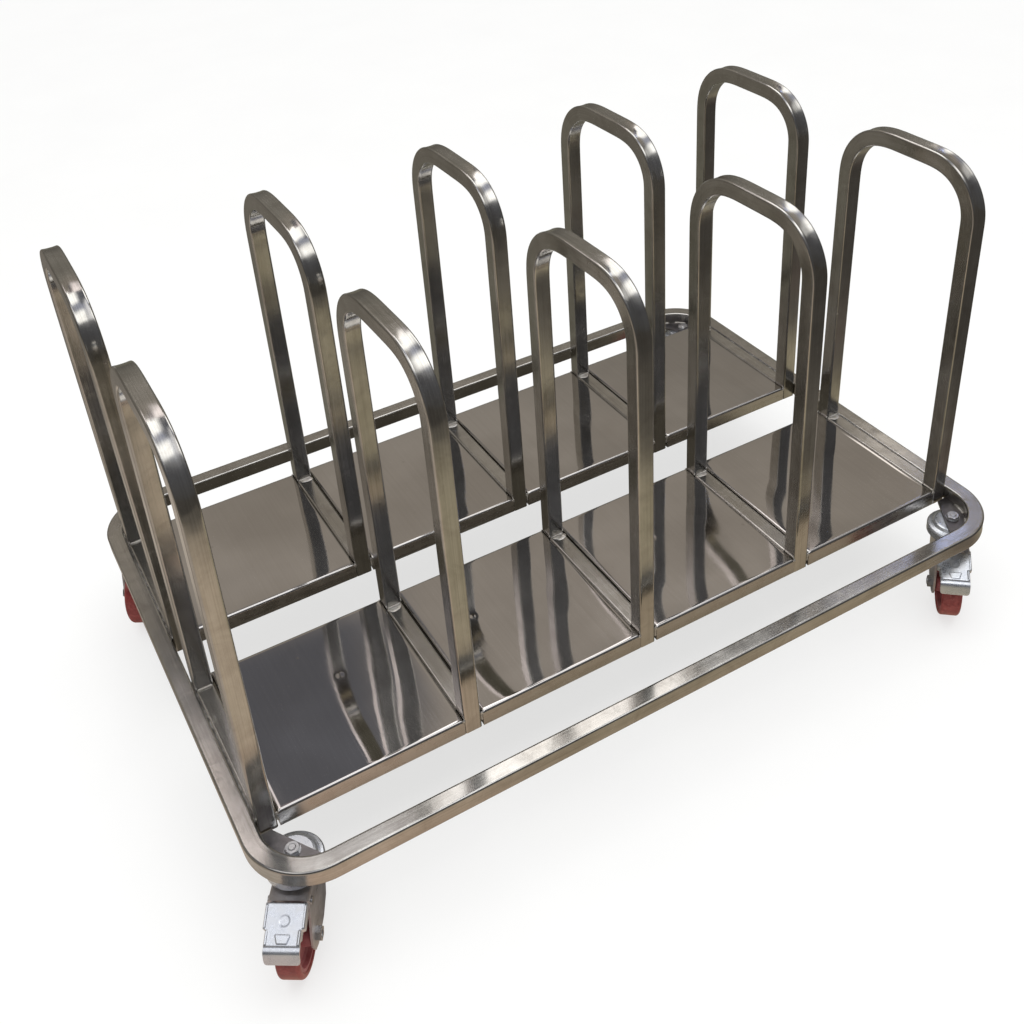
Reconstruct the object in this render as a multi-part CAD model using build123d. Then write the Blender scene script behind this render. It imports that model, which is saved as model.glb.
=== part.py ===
from build123d import *
import math
import os

# Divider trolley on four swivel casters, the front two braked: a ring of square tube carries two
# rows of inverted-U hoops, and folded sheet trays fill the bays between the hoops.
# All sizes in millimetres, +X along the long side, +Y to the back, +Z up, floor at z = 0.

# ---- tube and frame -------------------------------------------------------
TUBE = 25.0            # square tube, outside
WALL = 1.5             # tube wall
TUBE_R = 3.0           # outside edge radius of the tube
LENGTH = 1200.0        # frame ring, outside, along X
WIDTH = 830.0          # frame ring, outside, along Y
BEND_R = 88.0          # outside radius of the ring's corners
TOP_Z = 165.0          # top of the ring above the floor
BOT_Z = TOP_Z - TUBE   # underside of the ring

# ---- hoops, bars and trays ------------------------------------------------
HOOP_X = (-562.5, -278.0, 0.0, 278.0, 562.5)   # hoop planes
ROW_Y = {"front": (-309.0, -39.0), "back": (51.0, 321.0)}   # outside faces of the legs
HOOP_TOP = 715.0       # top of the hoops above the floor
HOOP_BEND_FRONT = 80.0   # outside radius of the hoops' front bends
HOOP_BEND_BACK = 92.0    # and of their slacker back bends
SHEET = 1.5            # tray sheet
FOLD_R = 2.6           # outside fold radius of the tray lips
LIP = TUBE             # depth of the tray lips
TRAY_GAP = 2.5         # open joint on the left of each tray

# ---- corner plates and casters --------------------------------------------
GUSSET_T = 4.0         # corner plate thickness
GUSSET_X = 90.0        # where its free edge meets the front or back rail, from the ring's outside face
GUSSET_SLOPE = 0.633   # how far the free edge closes on the side rail per millimetre away from that rail
KING_X, KING_Y = 52.0, 62.0   # caster stem, in from the outside faces of the ring
STEM_R = 5.0           # M10 stem
STEM_NUT_AF = 17.0
STEM_NUT_H = 5.0       # thin nut
WHEEL_R, WHEEL_W = 50.0, 30.0
RIM_R = 42.0           # rim under the tyre
TRAIL = 44.0           # axle behind the stem
AXLE_Z = WHEEL_R
AXLE_R = 5.0
BUSH_R = 7.5
FIT = 0.05             # running clearance, on the radius
FORK_IN, FORK_OUT = 22.0, 25.0    # inside and outside of the fork legs, from the middle
FORK_TOP = 115.0       # top face of the fork's crown
CROWN_T = 3.0
BALL_R, BALL_RING, BALL_Z, BALLS = 3.0, 26.0, 125.0, 18
CAP_R = 37.0
PIN_X, PIN_Z, PIN_R = 38.0, 105.0, 3.0   # pedal pivot, behind the stem and above the floor
PEDAL_W = 50.0

# corner name: (side along X, side along Y, trail direction in degrees about +Z)
CASTERS = {
    "front_left": (-1, -1, 237.0),
    "front_right": (1, -1, 229.0),
    "back_left": (-1, 1, 239.0),
    "back_right": (1, 1, 232.0),
}
BRAKED = ("front_left", "front_right")

# The origin is on the floor under the middle of the whole object's box.
SHIFT_X, SHIFT_Y = 11.4104, 18.3922

os.makedirs("parts", exist_ok=True)
nodes = {}


def section(size, radius, plane):
    return plane * RectangleRounded(size, size, radius)


def run(size, radius, start, along, length):
    """Straight length of square bar from start, along an axis direction."""
    across = (0, 0, 1) if abs(along[2]) < 0.5 else (1, 0, 0)
    return extrude(section(size, radius, Plane(start, x_dir=across, z_dir=along)), length)


def bend(size, radius, start, along, centre, axis_dir):
    """Quarter bend of square bar that starts square to `along` at `start`."""
    across = (0, 0, 1) if abs(along[2]) < 0.5 else (1, 0, 0)
    return revolve(section(size, radius, Plane(start, x_dir=across, z_dir=along)),
                   Axis(centre, axis_dir), 90)


def joined(pieces):
    body = pieces[0]
    for piece in pieces[1:]:
        body = body + piece
    return body


# ---- perimeter frame: one bent ring of square tube ------------------------
def ring(size, radius):
    hx, hy, m = LENGTH / 2, WIDTH / 2, TUBE / 2
    zc = (TOP_Z + BOT_Z) / 2
    sx, sy = hx - BEND_R, hy - BEND_R
    up = (0, 0, 1)
    return joined([
        run(size, radius, (-sx, -hy + m, zc), (1, 0, 0), 2 * sx),
        bend(size, radius, (sx, -hy + m, zc), (1, 0, 0), (sx, -sy, zc), up),
        run(size, radius, (hx - m, -sy, zc), (0, 1, 0), 2 * sy),
        bend(size, radius, (hx - m, sy, zc), (0, 1, 0), (sx, sy, zc), up),
        run(size, radius, (sx, hy - m, zc), (-1, 0, 0), 2 * sx),
        bend(size, radius, (-sx, hy - m, zc), (-1, 0, 0), (-sx, sy, zc), up),
        run(size, radius, (-hx + m, sy, zc), (0, -1, 0), 2 * sy),
        bend(size, radius, (-hx + m, -sy, zc), (0, -1, 0), (-sx, -sy, zc), up),
    ])


nodes["perimeter_frame"] = ring(TUBE, TUBE_R) - ring(TUBE - 2 * WALL, TUBE_R - WALL)


# ---- hoops: inverted U of square tube, open at the feet -------------------
def hoop_bar(size, radius, x, y0, y1, foot):
    m = TUBE / 2
    za, zb = HOOP_TOP - HOOP_BEND_FRONT, HOOP_TOP - HOOP_BEND_BACK
    ya, yb = y0 + HOOP_BEND_FRONT, y1 - HOOP_BEND_BACK
    return joined([
        run(size, radius, (x, y0 + m, foot), (0, 0, 1), za - foot),
        bend(size, radius, (x, y0 + m, za), (0, 0, 1), (x, ya, za), (-1, 0, 0)),
        run(size, radius, (x, ya, HOOP_TOP - m), (0, 1, 0), yb - ya),
        bend(size, radius, (x, yb, HOOP_TOP - m), (0, 1, 0), (x, yb, zb), (-1, 0, 0)),
        run(size, radius, (x, y1 - m, foot), (0, 0, 1), zb - foot),
    ])


for row, (y0, y1) in ROW_Y.items():
    bars = []
    for i, x in enumerate(HOOP_X, 1):
        nodes[f"{row}_hoop_{i}"] = (hoop_bar(TUBE, TUBE_R, x, y0, y1, BOT_Z)
                                    - hoop_bar(TUBE - 2 * WALL, TUBE_R - WALL, x, y0, y1, BOT_Z - 5))
        start = (x, y0 + TUBE, (TOP_Z + BOT_Z) / 2)
        length = (y1 - y0) - 2 * TUBE
        hollow = run(TUBE - 2 * WALL, TUBE_R - WALL, (start[0], start[1] - 1, start[2]), (0, 1, 0), length + 2)
        bars.append(run(TUBE, TUBE_R, start, (0, 1, 0), length) - hollow)
    nodes[f"{row}_row_crossbars"] = bars

    # Trays: folded sheet, lips turned down on all four sides, flush with the legs.
    for i in range(4):
        xa = HOOP_X[i] + TUBE / 2 + TRAY_GAP
        xb = HOOP_X[i + 1] - TUBE / 2
        cx, cy = (xa + xb) / 2, (y0 + y1) / 2
        pan = Pos(cx, cy, TOP_Z - LIP / 2) * Box(xb - xa, y1 - y0, LIP)
        pan = fillet(pan.faces().sort_by(Axis.Z)[-1].edges(), FOLD_R)
        well = Pos(cx, cy, TOP_Z - SHEET - LIP / 2) * Box(xb - xa - 2 * SHEET, y1 - y0 - 2 * SHEET, LIP)
        well = fillet(well.faces().sort_by(Axis.Z)[-1].edges(), FOLD_R - SHEET)
        nodes[f"{row}_tray_{i + 1}"] = pan - well


# ---- corner plates --------------------------------------------------------
def gusset(sx, sy, y_end):
    """Plate inside a bend of the ring; it stops short of the nearest hoop leg."""
    inner = BEND_R - TUBE
    k = BEND_R - inner * math.sqrt(0.5)

    def at(u, v):
        return (sx * (LENGTH / 2 - u), sy * (WIDTH / 2 - v))

    x_end = GUSSET_X - GUSSET_SLOPE * (y_end - TUBE)
    outline = (Line(at(TUBE, BEND_R), at(TUBE, y_end))
               + Line(at(TUBE, y_end), at(x_end, y_end))
               + Line(at(x_end, y_end), at(GUSSET_X, TUBE))
               + Line(at(GUSSET_X, TUBE), at(BEND_R, TUBE))
               + ThreePointArc(at(BEND_R, TUBE), at(k, k), at(TUBE, BEND_R)))
    plate = extrude(Pos(0, 0, BOT_Z) * make_face(outline), GUSSET_T, dir=(0, 0, 1))
    x, y = at(KING_X, KING_Y)
    return plate - Pos(x, y, BOT_Z + GUSSET_T / 2) * Cylinder(STEM_R + 0.2, 3 * GUSSET_T)


# ---- caster, in its own frame: stem on Z, trail along +X, axle along Y -----
def turned(points):
    """Solid of revolution about Z from (radius, height) points."""
    return revolve(make_face(Plane.XZ * Polyline(*points, close=True)), Axis.Z, 360)


def hexagon(across_flats, height, z):
    head = Pos(0, 0, z) * extrude(RegularPolygon(across_flats / 2, 6, major_radius=False), height)
    return head


def side_plate(points, y0, y1):
    """Plate of the given (x, z) outline between two Y values."""
    face = make_face(Plane.XZ * Polyline(*points, close=True))
    return Pos(0, y0, 0) * extrude(face, y1 - y0, dir=(0, 1, 0))


def on_axle(part):
    """Turn a part made about Z so that it lies on the axle."""
    return Pos(TRAIL, 0, AXLE_Z) * Rot(90, 0, 0) * part


def torus_groove():
    return Pos(0, 0, BALL_Z) * Torus(BALL_RING, BALL_R + 0.12)


def swivel_cap():
    cap = turned([
        (STEM_R + 0.15, BOT_Z), (24.0, BOT_Z), (26.5, BOT_Z - 1.2), (29.5, BOT_Z - 5.0), (32.0, BOT_Z - 6.2),
        (35.2, BOT_Z - 7.0), (CAP_R, BOT_Z - 9.0), (CAP_R, 120.5),
        (CAP_R - 2.2, 120.5), (CAP_R - 2.2, BOT_Z - 9.5), (30.0, BOT_Z - 9.5), (30.0, 126.2), (21.5, 126.2),
        (21.5, BOT_Z - 3.2), (STEM_R + 0.15, BOT_Z - 3.2)])
    return cap - torus_groove()


def ball_race():
    return [Pos(BALL_RING * math.cos(a), BALL_RING * math.sin(a), BALL_Z) * Sphere(BALL_R)
            for a in (2 * math.pi * i / BALLS for i in range(BALLS))]


def fork(braked):
    crown = Pos(8, 0, FORK_TOP - CROWN_T / 2) * Box(76, 2 * FORK_OUT, CROWN_T)
    leg = [(-30, FORK_TOP), (-30, 108), (-23, 72), (-10, 47), (12, 35), (44, 31.5), (57, 37), (62.5, 50),
           (60, 66), (49, 100), (46, 108), (46, FORK_TOP)]
    body = crown + side_plate(leg, FORK_IN, FORK_OUT) + side_plate(leg, -FORK_OUT, -FORK_IN)
    tops = [e for e in body.edges().filter_by(Axis.X) if abs(e.center().Z - FORK_TOP) < 1e-3]
    body = fillet(tops, 2.8)
    race = turned([(20.5, FORK_TOP - 0.5), (31.0, FORK_TOP - 0.5), (31.0, 123.8), (20.5, 123.8)])
    body = body + race - torus_groove()
    body = body - Cylinder(STEM_R + FIT, 400)
    body = body - on_axle(Cylinder(AXLE_R + 0.1, 80))
    if braked:
        body = body - Pos(PIN_X, 0, PIN_Z) * Rot(90, 0, 0) * Cylinder(PIN_R + 0.05, 80)
    return body


def axle_set():
    shank = on_axle(Pos(0, 0, 1.5) * Cylinder(AXLE_R, 2 * FORK_OUT + 13.0))
    head = on_axle(hexagon(16.0, 6.4, -FORK_OUT - 6.4) - Cylinder(AXLE_R - 0.01, 200))
    bolt = shank + head
    nut = on_axle(hexagon(16.0, 7.0, FORK_OUT)) - on_axle(Cylinder(AXLE_R, 200))
    return [bolt, nut]


def pedal_pin():
    pin = Pos(PIN_X, 0, PIN_Z) * Rot(90, 0, 0) * Cylinder(PIN_R, 2 * FORK_OUT)
    for s in (-1, 1):
        pin = pin + Pos(PIN_X, s * (FORK_OUT + 1.0), PIN_Z) * Rot(90, 0, 0) * Cylinder(PIN_R + 1.8, 2.0)
    return pin


def wheel_bushing():
    return on_axle(Cylinder(BUSH_R, 2 * FORK_IN) - Cylinder(AXLE_R + FIT, 100))


def wheel_core():
    half = [(BUSH_R + FIT, 20.5), (12.5, 20.5), (14.0, 19.0), (15.5, 7.0), (18.0, 5.0), (33.0, 5.0), (36.0, 8.0),
            (38.0, 13.0), (RIM_R, 13.0)]
    return on_axle(turned(half + [(r, -z) for r, z in reversed(half)]))


def wheel_tyre():
    h = WHEEL_W / 2
    ring_face = make_face(Plane.XZ * Polyline((RIM_R, -13.0), (RIM_R, 13.0), (RIM_R + 1.5, h - 0.5), (RIM_R + 3, h),
                                               (WHEEL_R, h), (WHEEL_R, -h), (RIM_R + 3, -h), (RIM_R + 1.5, -h + 0.5),
                                               close=True))
    outer = [v for v in ring_face.vertices() if abs(v.X - WHEEL_R) < 1e-6]
    return on_axle(revolve(fillet(outer, 4.5), Axis.Z, 360))


def brake_pedal():
    t = 2.5
    top0, top1 = (50.0, 117.5), (96.0, 99.5)
    length = math.hypot(top1[0] - top0[0], top1[1] - top0[1])
    ux, uz = (top1[0] - top0[0]) / length, (top1[1] - top0[1]) / length
    nx, nz = -uz, ux           # upward normal of the plate

    def on(s, d):
        """Point s along the plate and d below its top."""
        return (top0[0] + ux * s - nx * d, top0[1] + uz * s - nz * d)

    plate = side_plate([on(0, 0), on(length - 2, 0), on(length - 2, t), on(0, t)], -PEDAL_W / 2, PEDAL_W / 2)
    lip = side_plate([on(length - 12, 0.5), on(length - 1.5, 0.5), (99.5, 97.0), (103.5, 78.5), (101.0, 78.0),
                      (97.4, 94.6), on(length - 3, t + 0.8), on(length - 12, t + 0.8)], -22.0, 22.0)
    body = plate + lip
    for s in (-1, 1):
        # short side skirts under the plate, outside the fork legs
        ya, yb = sorted((s * (PEDAL_W / 2 - 2.2), s * PEDAL_W / 2))
        body = body + side_plate([on(6, 1), on(length - 6, 1), on(length - 7, 9.5), on(9, 10.5)], ya, yb)
        # arms that reach in to the pivot, between the fork leg and the tyre
        ya, yb = sorted((s * 17.5, s * 21.4))
        arm = side_plate([(PIN_X, PIN_Z + 5.5), (48.5, 110.0), on(1.5, 1), on(24, 1), (62.0, 99.0), (PIN_X, PIN_Z - 5.5)],
                         ya, yb)
        arm = arm + Pos(PIN_X, (ya + yb) / 2, PIN_Z) * Rot(90, 0, 0) * Cylinder(5.5, yb - ya)
        body = body + arm
    shoe = side_plate([on(11, 1), on(16, 1), (64.0, 103.2), (59.8, 103.2)], -12.0, 12.0)
    body = body + shoe
    return body - Pos(PIN_X, 0, PIN_Z) * Rot(90, 0, 0) * Cylinder(PIN_R + FIT, 80)


def stem_set(x, y):
    """Caster stem with its head under the crown, washers, and the nut on the corner plate."""
    under = FORK_TOP - CROWN_T - 0.2
    plate_top = BOT_Z + GUSSET_T
    end = plate_top + 1.2 + STEM_NUT_H + 0.6
    stem = Pos(0, 0, (under - 1.8 + end) / 2) * Cylinder(STEM_R, end - (under - 1.8))
    stem = chamfer(stem.edges().sort_by(Axis.Z)[-1], 1.0)
    bolt = stem + hexagon(STEM_NUT_AF, 6.4, under - 1.8 - 6.4)
    lower = Pos(0, 0, under - 0.9) * (Cylinder(10.0, 1.8) - Cylinder(STEM_R, 5))
    upper = Pos(0, 0, plate_top + 0.6) * (Cylinder(10.5, 1.2) - Cylinder(STEM_R, 5))
    nut_top = plate_top + 1.2 + STEM_NUT_H
    nut = hexagon(STEM_NUT_AF, STEM_NUT_H, plate_top + 1.2)
    cone = turned([(0, plate_top + 1.2), (STEM_NUT_AF / 2 + 3.2, plate_top + 1.2), (STEM_NUT_AF / 2 + 3.2, nut_top - 2.4),
                   (STEM_NUT_AF / 2 - 0.2, nut_top), (0, nut_top)])
    nut = (nut & cone) - Cylinder(STEM_R, 400)
    return [Pos(x, y, 0) * p for p in (bolt, lower, upper, nut)]


stems = []
for name, (sx, sy, angle) in CASTERS.items():
    nodes[f"{name}_gusset"] = gusset(sx, sy, 104.0 if sy < 0 else 92.0)
    kx, ky = sx * (LENGTH / 2 - KING_X), sy * (WIDTH / 2 - KING_Y)
    place = Pos(kx, ky, 0) * Rot(0, 0, angle)
    stems += stem_set(kx, ky)
    braked = name in BRAKED
    pieces = [("swivel_cap", swivel_cap()), ("ball_race", ball_race()), ("fork", fork(braked)),
              ("wheel_bushing", wheel_bushing()), ("wheel_core", wheel_core()), ("wheel_tyre", wheel_tyre())]
    if braked:
        pieces += [("axle_and_pins", axle_set() + [pedal_pin()]), ("brake_pedal", brake_pedal())]
    else:
        pieces += [("axle_bolt", axle_set())]
    for piece, made in pieces:
        made = made if isinstance(made, list) else [made]
        nodes[f"{name}_{piece}"] = [place * p for p in made]
nodes["kingpin_bolts"] = stems

# ---- write one file per piece ---------------------------------------------
low, high = [1e9] * 3, [-1e9] * 3
for name, made in nodes.items():
    made = made if isinstance(made, list) else [made]
    solids = [s for m in made for s in (Pos(SHIFT_X, SHIFT_Y, 0) * m).solids()]
    shape = solids[0] if len(solids) == 1 else Compound(children=solids)
    export_step(shape, f"parts/{name}.step")
    box = shape.bounding_box()
    for i, (a, b) in enumerate(zip(box.min, box.max)):
        low[i], high[i] = min(low[i], a), max(high[i], b)
print(len(nodes), "nodes; box", [round(v, 4) for v in low], [round(v, 4) for v in high],
      "middle", [round((a + b) / 2, 4) for a, b in zip(low, high)])
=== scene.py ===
import math
import random

import bpy
import numpy as np
from mathutils import Matrix, Vector


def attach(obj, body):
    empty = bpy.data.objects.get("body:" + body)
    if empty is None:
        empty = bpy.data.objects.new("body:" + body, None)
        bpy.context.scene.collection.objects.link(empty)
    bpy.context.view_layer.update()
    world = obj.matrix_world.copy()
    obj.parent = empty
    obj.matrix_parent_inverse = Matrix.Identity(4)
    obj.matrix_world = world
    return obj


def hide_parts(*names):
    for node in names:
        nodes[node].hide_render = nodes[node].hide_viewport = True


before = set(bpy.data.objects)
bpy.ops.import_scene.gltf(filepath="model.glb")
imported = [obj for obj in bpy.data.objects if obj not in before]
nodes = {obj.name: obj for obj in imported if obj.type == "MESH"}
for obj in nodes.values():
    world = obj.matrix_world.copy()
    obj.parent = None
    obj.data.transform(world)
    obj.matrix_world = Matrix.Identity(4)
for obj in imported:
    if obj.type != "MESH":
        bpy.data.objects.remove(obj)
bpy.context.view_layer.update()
scene = bpy.context.scene

# ---- sizes, in millimetres, measured from the middle of the tube ring --------------
SHIFT = np.array([11.4104, 18.3922, 0.0])     # ring middle in the shared frame
TUBE, WALL, TUBE_R = 25.0, 1.5, 3.0
HALF = TUBE / 2
LENGTH, WIDTH, BEND_R = 1200.0, 830.0, 88.0
TOP_Z, BOT_Z = 165.0, 140.0
HOOP_X = (-562.5, -278.0, 0.0, 278.0, 562.5)
ROW_Y = {"front": (-309.0, -39.0), "back": (51.0, 321.0)}
HOOP_TOP = 715.0
# hoop bends, front and back end: tightest centre-line radius, run-in from the top, run-out to the leg
BENDS = {"front": ((73.0, 45.0, 10.0), (75.0, 60.0, 40.0)), "back": ((68.0, 55.0, 10.0), (75.0, 60.0, 40.0))}
LEAN = {"front_hoop_5": 7.5, "back_hoop_1": -9.0}   # how far a hoop's top stands off its feet along X
SHEET, FOLD_R, LIP, TRAY_GAP = 1.5, 4.0, 25.0, 2.5
GUSSET_T = 4.0
KING_X, KING_Y = 52.0, 62.0
CASTERS = {
    "front_left": (-1, -1, 237.0),
    "front_right": (1, -1, 229.0),
    "back_left": (-1, 1, 239.0),
    "back_right": (1, 1, 232.0),
}
BRAKED = ("front_left", "front_right")


def metres(points):
    return (np.asarray(points, float).reshape(-1, 3) + SHIFT) / 1000.0


# ---- materials ----------------------------------------------------------------------
class Mat:
    """A material with a Principled shader and short calls for its nodes."""

    def __init__(self, name, **sockets):
        self.m = bpy.data.materials.new(name)
        self.m.use_nodes = True
        self.t = self.m.node_tree
        self.t.nodes.clear()
        out = self.t.nodes.new("ShaderNodeOutputMaterial")
        self.b = self.t.nodes.new("ShaderNodeBsdfPrincipled")
        self.t.links.new(self.b.outputs["BSDF"], out.inputs["Surface"])
        for k, v in sockets.items():
            self.put(self.b.inputs[k.replace("_", " ")], v)

    def put(self, sock, v):
        if isinstance(v, bpy.types.NodeSocket):
            self.t.links.new(v, sock)
        else:
            sock.default_value = v

    def node(self, kind, inputs=None, **props):
        n = self.t.nodes.new(kind)
        for k, v in props.items():
            setattr(n, k, v)
        for k, v in (inputs or {}).items():
            self.put(n.inputs[k], v)
        return n

    def uv(self):
        return self.node("ShaderNodeUVMap", uv_map="run").outputs["UV"]

    def obj(self):
        return self.node("ShaderNodeTexCoord").outputs["Object"]

    def scaled(self, vec, scale, shift=(0, 0, 0)):
        return self.node("ShaderNodeMapping", {"Vector": vec, "Scale": scale, "Location": shift}).outputs["Vector"]

    def noise(self, vec, scale=1.0, detail=2.0, rough=0.5, distort=0.0):
        return self.node("ShaderNodeTexNoise", {"Vector": vec, "Scale": scale, "Detail": detail, "Roughness": rough,
                                                "Distortion": distort}).outputs["Fac"]

    def math(self, op, a, b=0.0, clamp=False):
        n = self.node("ShaderNodeMath", operation=op, use_clamp=clamp)
        self.put(n.inputs[0], a)
        self.put(n.inputs[1], b)
        return n.outputs[0]

    def span(self, v, a, b, c, d, smooth=False):
        n = self.node("ShaderNodeMapRange", {"Value": v, "From Min": a, "From Max": b, "To Min": c, "To Max": d})
        if smooth:
            n.interpolation_type = "SMOOTHSTEP"
        return n.outputs["Result"]

    def ramp(self, fac, stops):
        n = self.node("ShaderNodeValToRGB", {"Fac": fac})
        e = n.color_ramp.elements
        while len(e) < len(stops):
            e.new(0.5)
        for el, (p, c) in zip(e, stops):
            el.position = p
            el.color = (*c, 1.0) if len(c) == 3 else c
        return n.outputs["Color"]

    def mix(self, fac, a, b, blend="MIX"):
        n = self.node("ShaderNodeMix", data_type="RGBA", blend_type=blend)
        self.put(n.inputs[0], fac)
        self.put(n.inputs[6], a if isinstance(a, bpy.types.NodeSocket) else (*a, 1.0))
        self.put(n.inputs[7], b if isinstance(b, bpy.types.NodeSocket) else (*b, 1.0))
        return n.outputs[2]

    def bump(self, height, distance, strength=1.0, normal=None):
        ins = {"Height": height, "Distance": distance, "Strength": strength}
        if normal is not None:
            ins["Normal"] = normal
        return self.node("ShaderNodeBump", ins).outputs["Normal"]

    def set(self, **sockets):
        for k, v in sockets.items():
            self.put(self.b.inputs[k.replace("_", " ")], v)
        return self.m


def make_tube_steel():
    """Satin stainless tube, brushed along its length. UV "run": u along the tube, v around it, in metres."""
    m = Mat("satin_tube", Metallic=1.0, Anisotropic=0.55, Anisotropic_Rotation=0.25)
    uv, obj = m.uv(), m.obj()
    fine = m.noise(m.scaled(uv, (5.0, 1500.0, 1.0)), 1.0, 3.0, 0.6)
    mid = m.noise(m.scaled(uv, (5.0, 600.0, 1.0), (0.0, 0.0, 4.0)), 1.0, 3.0, 0.55)
    wide = m.noise(m.scaled(uv, (3.0, 70.0, 1.0), (0.0, 0.0, 9.0)), 1.0, 2.0, 0.5)
    cloud = m.noise(obj, 10.0, 4.0, 0.55, 0.4)
    blot = m.noise(m.scaled(obj, (1, 1, 1), (3.1, 1.7, 0.4)), 46.0, 4.0, 0.6, 0.6)
    mott = m.noise(m.scaled(obj, (1, 1, 1), (7.7, 0.3, 2.1)), 27.0, 5.0, 0.64, 0.8)
    base = m.ramp(m.math("ADD", m.math("MULTIPLY", cloud, 0.6), m.math("MULTIPLY", wide, 0.4)),
                  [(0.36, (0.475, 0.466, 0.435)), (0.52, (0.556, 0.547, 0.519)), (0.66, (0.620, 0.612, 0.588))])
    base = m.mix(1.0, base, m.ramp(mid, [(0.28, (0.86, 0.85, 0.835)), (0.50, (1, 1, 1)), (0.74, (1.05, 1.05, 1.05))]), "MULTIPLY")
    base = m.mix(1.0, base, m.ramp(mott, [(0.33, (0.88, 0.865, 0.86)), (0.52, (1, 1, 1)), (0.70, (1.04, 1.035, 1.04))]), "MULTIPLY")
    rough = m.math("ADD", m.span(cloud, 0.3, 0.7, 0.13, 0.21), m.span(mid, 0.3, 0.7, -0.014, 0.018))
    rough = m.math("ADD", rough, m.span(mott, 0.3, 0.7, 0.018, -0.014))
    rough = m.math("ADD", rough, m.span(blot, 0.54, 0.74, 0.0, 0.08))
    rough = m.math("ADD", rough, m.span(fine, 0.3, 0.7, -0.008, 0.012), clamp=True)
    n = m.bump(cloud, 0.0011, 0.30)
    n = m.bump(mid, 0.00007, 0.09, n)
    n = m.bump(fine, 0.00002, 0.04, n)
    tangent = m.node("ShaderNodeTangent", direction_type="UV_MAP", uv_map="run").outputs["Tangent"]
    return m.set(Base_Color=base, Roughness=rough, Normal=n, Tangent=tangent)


def make_sheet_steel():
    """Bright rolled stainless sheet with faint rolling lines, wipe marks and water spots."""
    m = Mat("bright_sheet", Metallic=1.0)
    obj = m.obj()
    lines = m.noise(m.scaled(obj, (420.0, 3.0, 3.0)), 1.0, 3.0, 0.55)
    wipe = m.noise(m.scaled(obj, (9.0, 5.0, 5.0), (1.3, 0.2, 0.0)), 1.0, 5.0, 0.62, 1.1)
    haze = m.noise(m.scaled(obj, (1, 1, 1), (5.0, 2.0, 0.0)), 5.0, 3.0, 0.5)
    spots = m.node("ShaderNodeTexVoronoi", {"Vector": m.scaled(obj, (1, 1, 1), (0.7, 0.1, 0)), "Scale": 34.0,
                                            "Randomness": 1.0}, feature="F1").outputs["Distance"]
    spot = m.math("MULTIPLY", m.span(spots, 0.05, 0.10, 1.0, 0.0), m.span(wipe, 0.50, 0.62, 0.0, 1.0))
    base = m.ramp(haze, [(0.36, (0.525, 0.51, 0.495)), (0.52, (0.58, 0.566, 0.552)), (0.64, (0.645, 0.632, 0.62))])
    base = m.mix(1.0, base, m.ramp(lines, [(0.3, (0.965, 0.962, 0.957)), (0.6, (1, 1, 1))]), "MULTIPLY")
    base = m.mix(m.math("MULTIPLY", spot, 0.4), base, (0.38, 0.345, 0.30))
    rough = m.math("ADD", m.span(wipe, 0.42, 0.70, 0.028, 0.075), m.math("MULTIPLY", spot, 0.10))
    rough = m.math("ADD", rough, m.span(lines, 0.3, 0.7, -0.008, 0.014), clamp=True)
    n = m.bump(m.noise(obj, 9.0, 2.0, 0.45), 0.0006, 0.05)
    n = m.bump(lines, 0.00001, 0.3, n)
    return m.set(Base_Color=base, Roughness=rough, Normal=n)


def make_plate_steel():
    """Hot-rolled stainless plate of the corner gussets, with ground patches. Its dark base is partly the plate's dull
    finish and partly painted dark reflection of the leg and lip it mirrors.
    """
    m = Mat("ground_plate", Metallic=1.0)
    obj = m.obj()
    swirl = m.noise(m.scaled(obj, (60.0, 420.0, 60.0)), 1.0, 3.0, 0.55, 0.8)
    cloud = m.noise(obj, 26.0, 4.0, 0.6, 0.5)
    # dark base tones: partly the plate's own dull finish, partly painted dark reflection
    base = m.ramp(cloud, [(0.32, (0.17, 0.16, 0.16)), (0.55, (0.245, 0.23, 0.235)), (0.7, (0.33, 0.315, 0.31))])
    rough = m.math("ADD", m.span(cloud, 0.3, 0.7, 0.30, 0.44), m.span(swirl, 0.3, 0.7, -0.06, 0.08), clamp=True)
    n = m.bump(swirl, 0.00006, 0.7)
    n = m.bump(cloud, 0.0005, 0.2, n)
    return m.set(Base_Color=base, Roughness=rough, Normal=n)


def make_weld():
    """Weld metal: bright ripples with straw and blue heat tints."""
    m = Mat("weld_metal", Metallic=0.85)
    obj = m.obj()
    tint = m.noise(obj, 95.0, 3.0, 0.6)
    grain = m.noise(obj, 900.0, 3.0, 0.6)
    base = m.ramp(tint, [(0.30, (0.40, 0.38, 0.37)), (0.46, (0.62, 0.585, 0.53)), (0.58, (0.70, 0.685, 0.66)),
                         (0.70, (0.56, 0.50, 0.41))])
    rough = m.math("ADD", m.span(tint, 0.3, 0.7, 0.30, 0.46), m.span(grain, 0.3, 0.7, -0.06, 0.08), clamp=True)
    n = m.bump(grain, 0.00005, 0.6)
    return m.set(Base_Color=base, Roughness=rough, Normal=n)


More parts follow.
